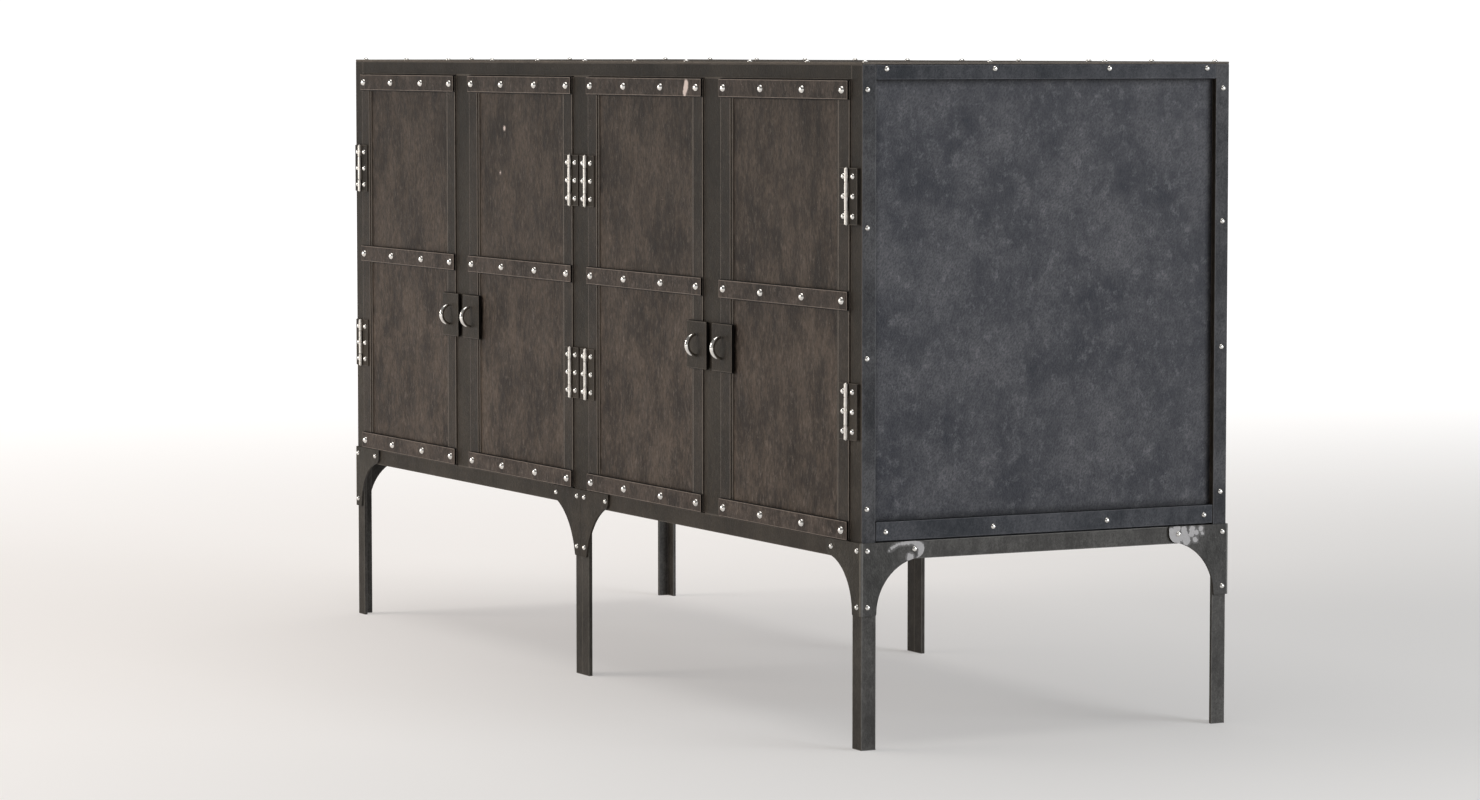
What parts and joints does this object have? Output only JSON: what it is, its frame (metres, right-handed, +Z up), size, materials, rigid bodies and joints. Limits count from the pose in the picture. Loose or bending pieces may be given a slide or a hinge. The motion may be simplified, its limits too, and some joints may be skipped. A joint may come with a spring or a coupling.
{
  "type": "sideboard buffet",
  "caption": "Low storage sideboard of riveted dark steel on slim bracketed legs, with strap-bound hinged doors, half-ring pulls and a shelf in each half.",
  "frame": {"origin": "on the floor, at the centre of the object's footprint with its rivets and pulls", "axes": "+Z up, +X to the right seen from the front, and the doors face -Y"},
  "size_m": [1.736, 0.604, 0.917],
  "materials": {
    "frame_steel": "satin",
    "sheet_steel": "satin",
    "door_steel": "satin",
    "clad_board": "satin",
    "shelf_board": "matte",
    "bright_steel": "polished"
  },
  "bodies": {
    "carcass": {"post_front_left": "frame_steel", "post_rear_left": "frame_steel", "corner_bracket_front_left": "frame_steel", "corner_bracket_rear_left": "frame_steel", "post_front_right": "frame_steel", "post_rear_right": "frame_steel", "corner_bracket_front_right": "frame_steel", "corner_bracket_rear_right": "frame_steel", "middle_leg_front": "frame_steel", "middle_bracket_front": "frame_steel", "middle_leg_and_bracket_rear": "frame_steel", "front_top_rail": "frame_steel", "front_base_rail_and_floor": "clad_board", "mullion_left": "frame_steel", "mullion_right": "frame_steel", "middle_mullion_and_partition": "clad_board", "side_panel_left": "sheet_steel", "side_strap_left": "frame_steel", "shelf_left": "shelf_board", "side_panel_right": "sheet_steel", "side_strap_right": "frame_steel", "shelf_right": "shelf_board", "back_panel": "sheet_steel", "top": "clad_board", "post_hinge_upper_1": "bright_steel", "post_hinge_lower_1": "bright_steel", "post_hinge_upper_2": "bright_steel", "post_hinge_lower_2": "bright_steel", "post_hinge_upper_3": "bright_steel", "post_hinge_lower_3": "bright_steel", "post_hinge_upper_4": "bright_steel", "post_hinge_lower_4": "bright_steel"},
    "door_1": {"door_1_leaf": "door_steel", "door_1_strap_top": "frame_steel", "door_1_strap_middle": "frame_steel", "door_1_strap_bottom": "frame_steel", "door_1_pull": "bright_steel", "door_1_hinge_upper": "bright_steel", "door_1_hinge_lower": "bright_steel"},
    "door_2": {"door_2_leaf": "door_steel", "door_2_strap_top": "frame_steel", "door_2_strap_middle": "frame_steel", "door_2_strap_bottom": "frame_steel", "door_2_pull": "bright_steel", "door_2_hinge_upper": "bright_steel", "door_2_hinge_lower": "bright_steel"},
    "door_3": {"door_3_leaf": "door_steel", "door_3_strap_top": "frame_steel", "door_3_strap_middle": "frame_steel", "door_3_strap_bottom": "frame_steel", "door_3_pull": "bright_steel", "door_3_hinge_upper": "bright_steel", "door_3_hinge_lower": "bright_steel"},
    "door_4": {"door_4_leaf": "door_steel", "door_4_strap_top": "frame_steel", "door_4_strap_middle": "frame_steel", "door_4_strap_bottom": "frame_steel", "door_4_pull": "bright_steel", "door_4_hinge_upper": "bright_steel", "door_4_hinge_lower": "bright_steel"}
  },
  "joints": [
    {"name": "door_1_hinge", "type": "hinge", "parent": "carcass", "child": "door_1", "pos_m": [-0.83125, -0.285, 0.594], "axis": [0, 0, -1], "range_deg": [0, 165]},
    {"name": "door_2_hinge", "type": "hinge", "parent": "carcass", "child": "door_2", "pos_m": [-0.02675, -0.285, 0.594], "axis": [0, 0, 1], "range_deg": [0, 90]},
    {"name": "door_3_hinge", "type": "hinge", "parent": "carcass", "child": "door_3", "pos_m": [0.02675, -0.285, 0.594], "axis": [0, 0, -1], "range_deg": [0, 90]},
    {"name": "door_4_hinge", "type": "hinge", "parent": "carcass", "child": "door_4", "pos_m": [0.83125, -0.285, 0.594], "axis": [0, 0, 1], "range_deg": [0, 165]}
  ]
}
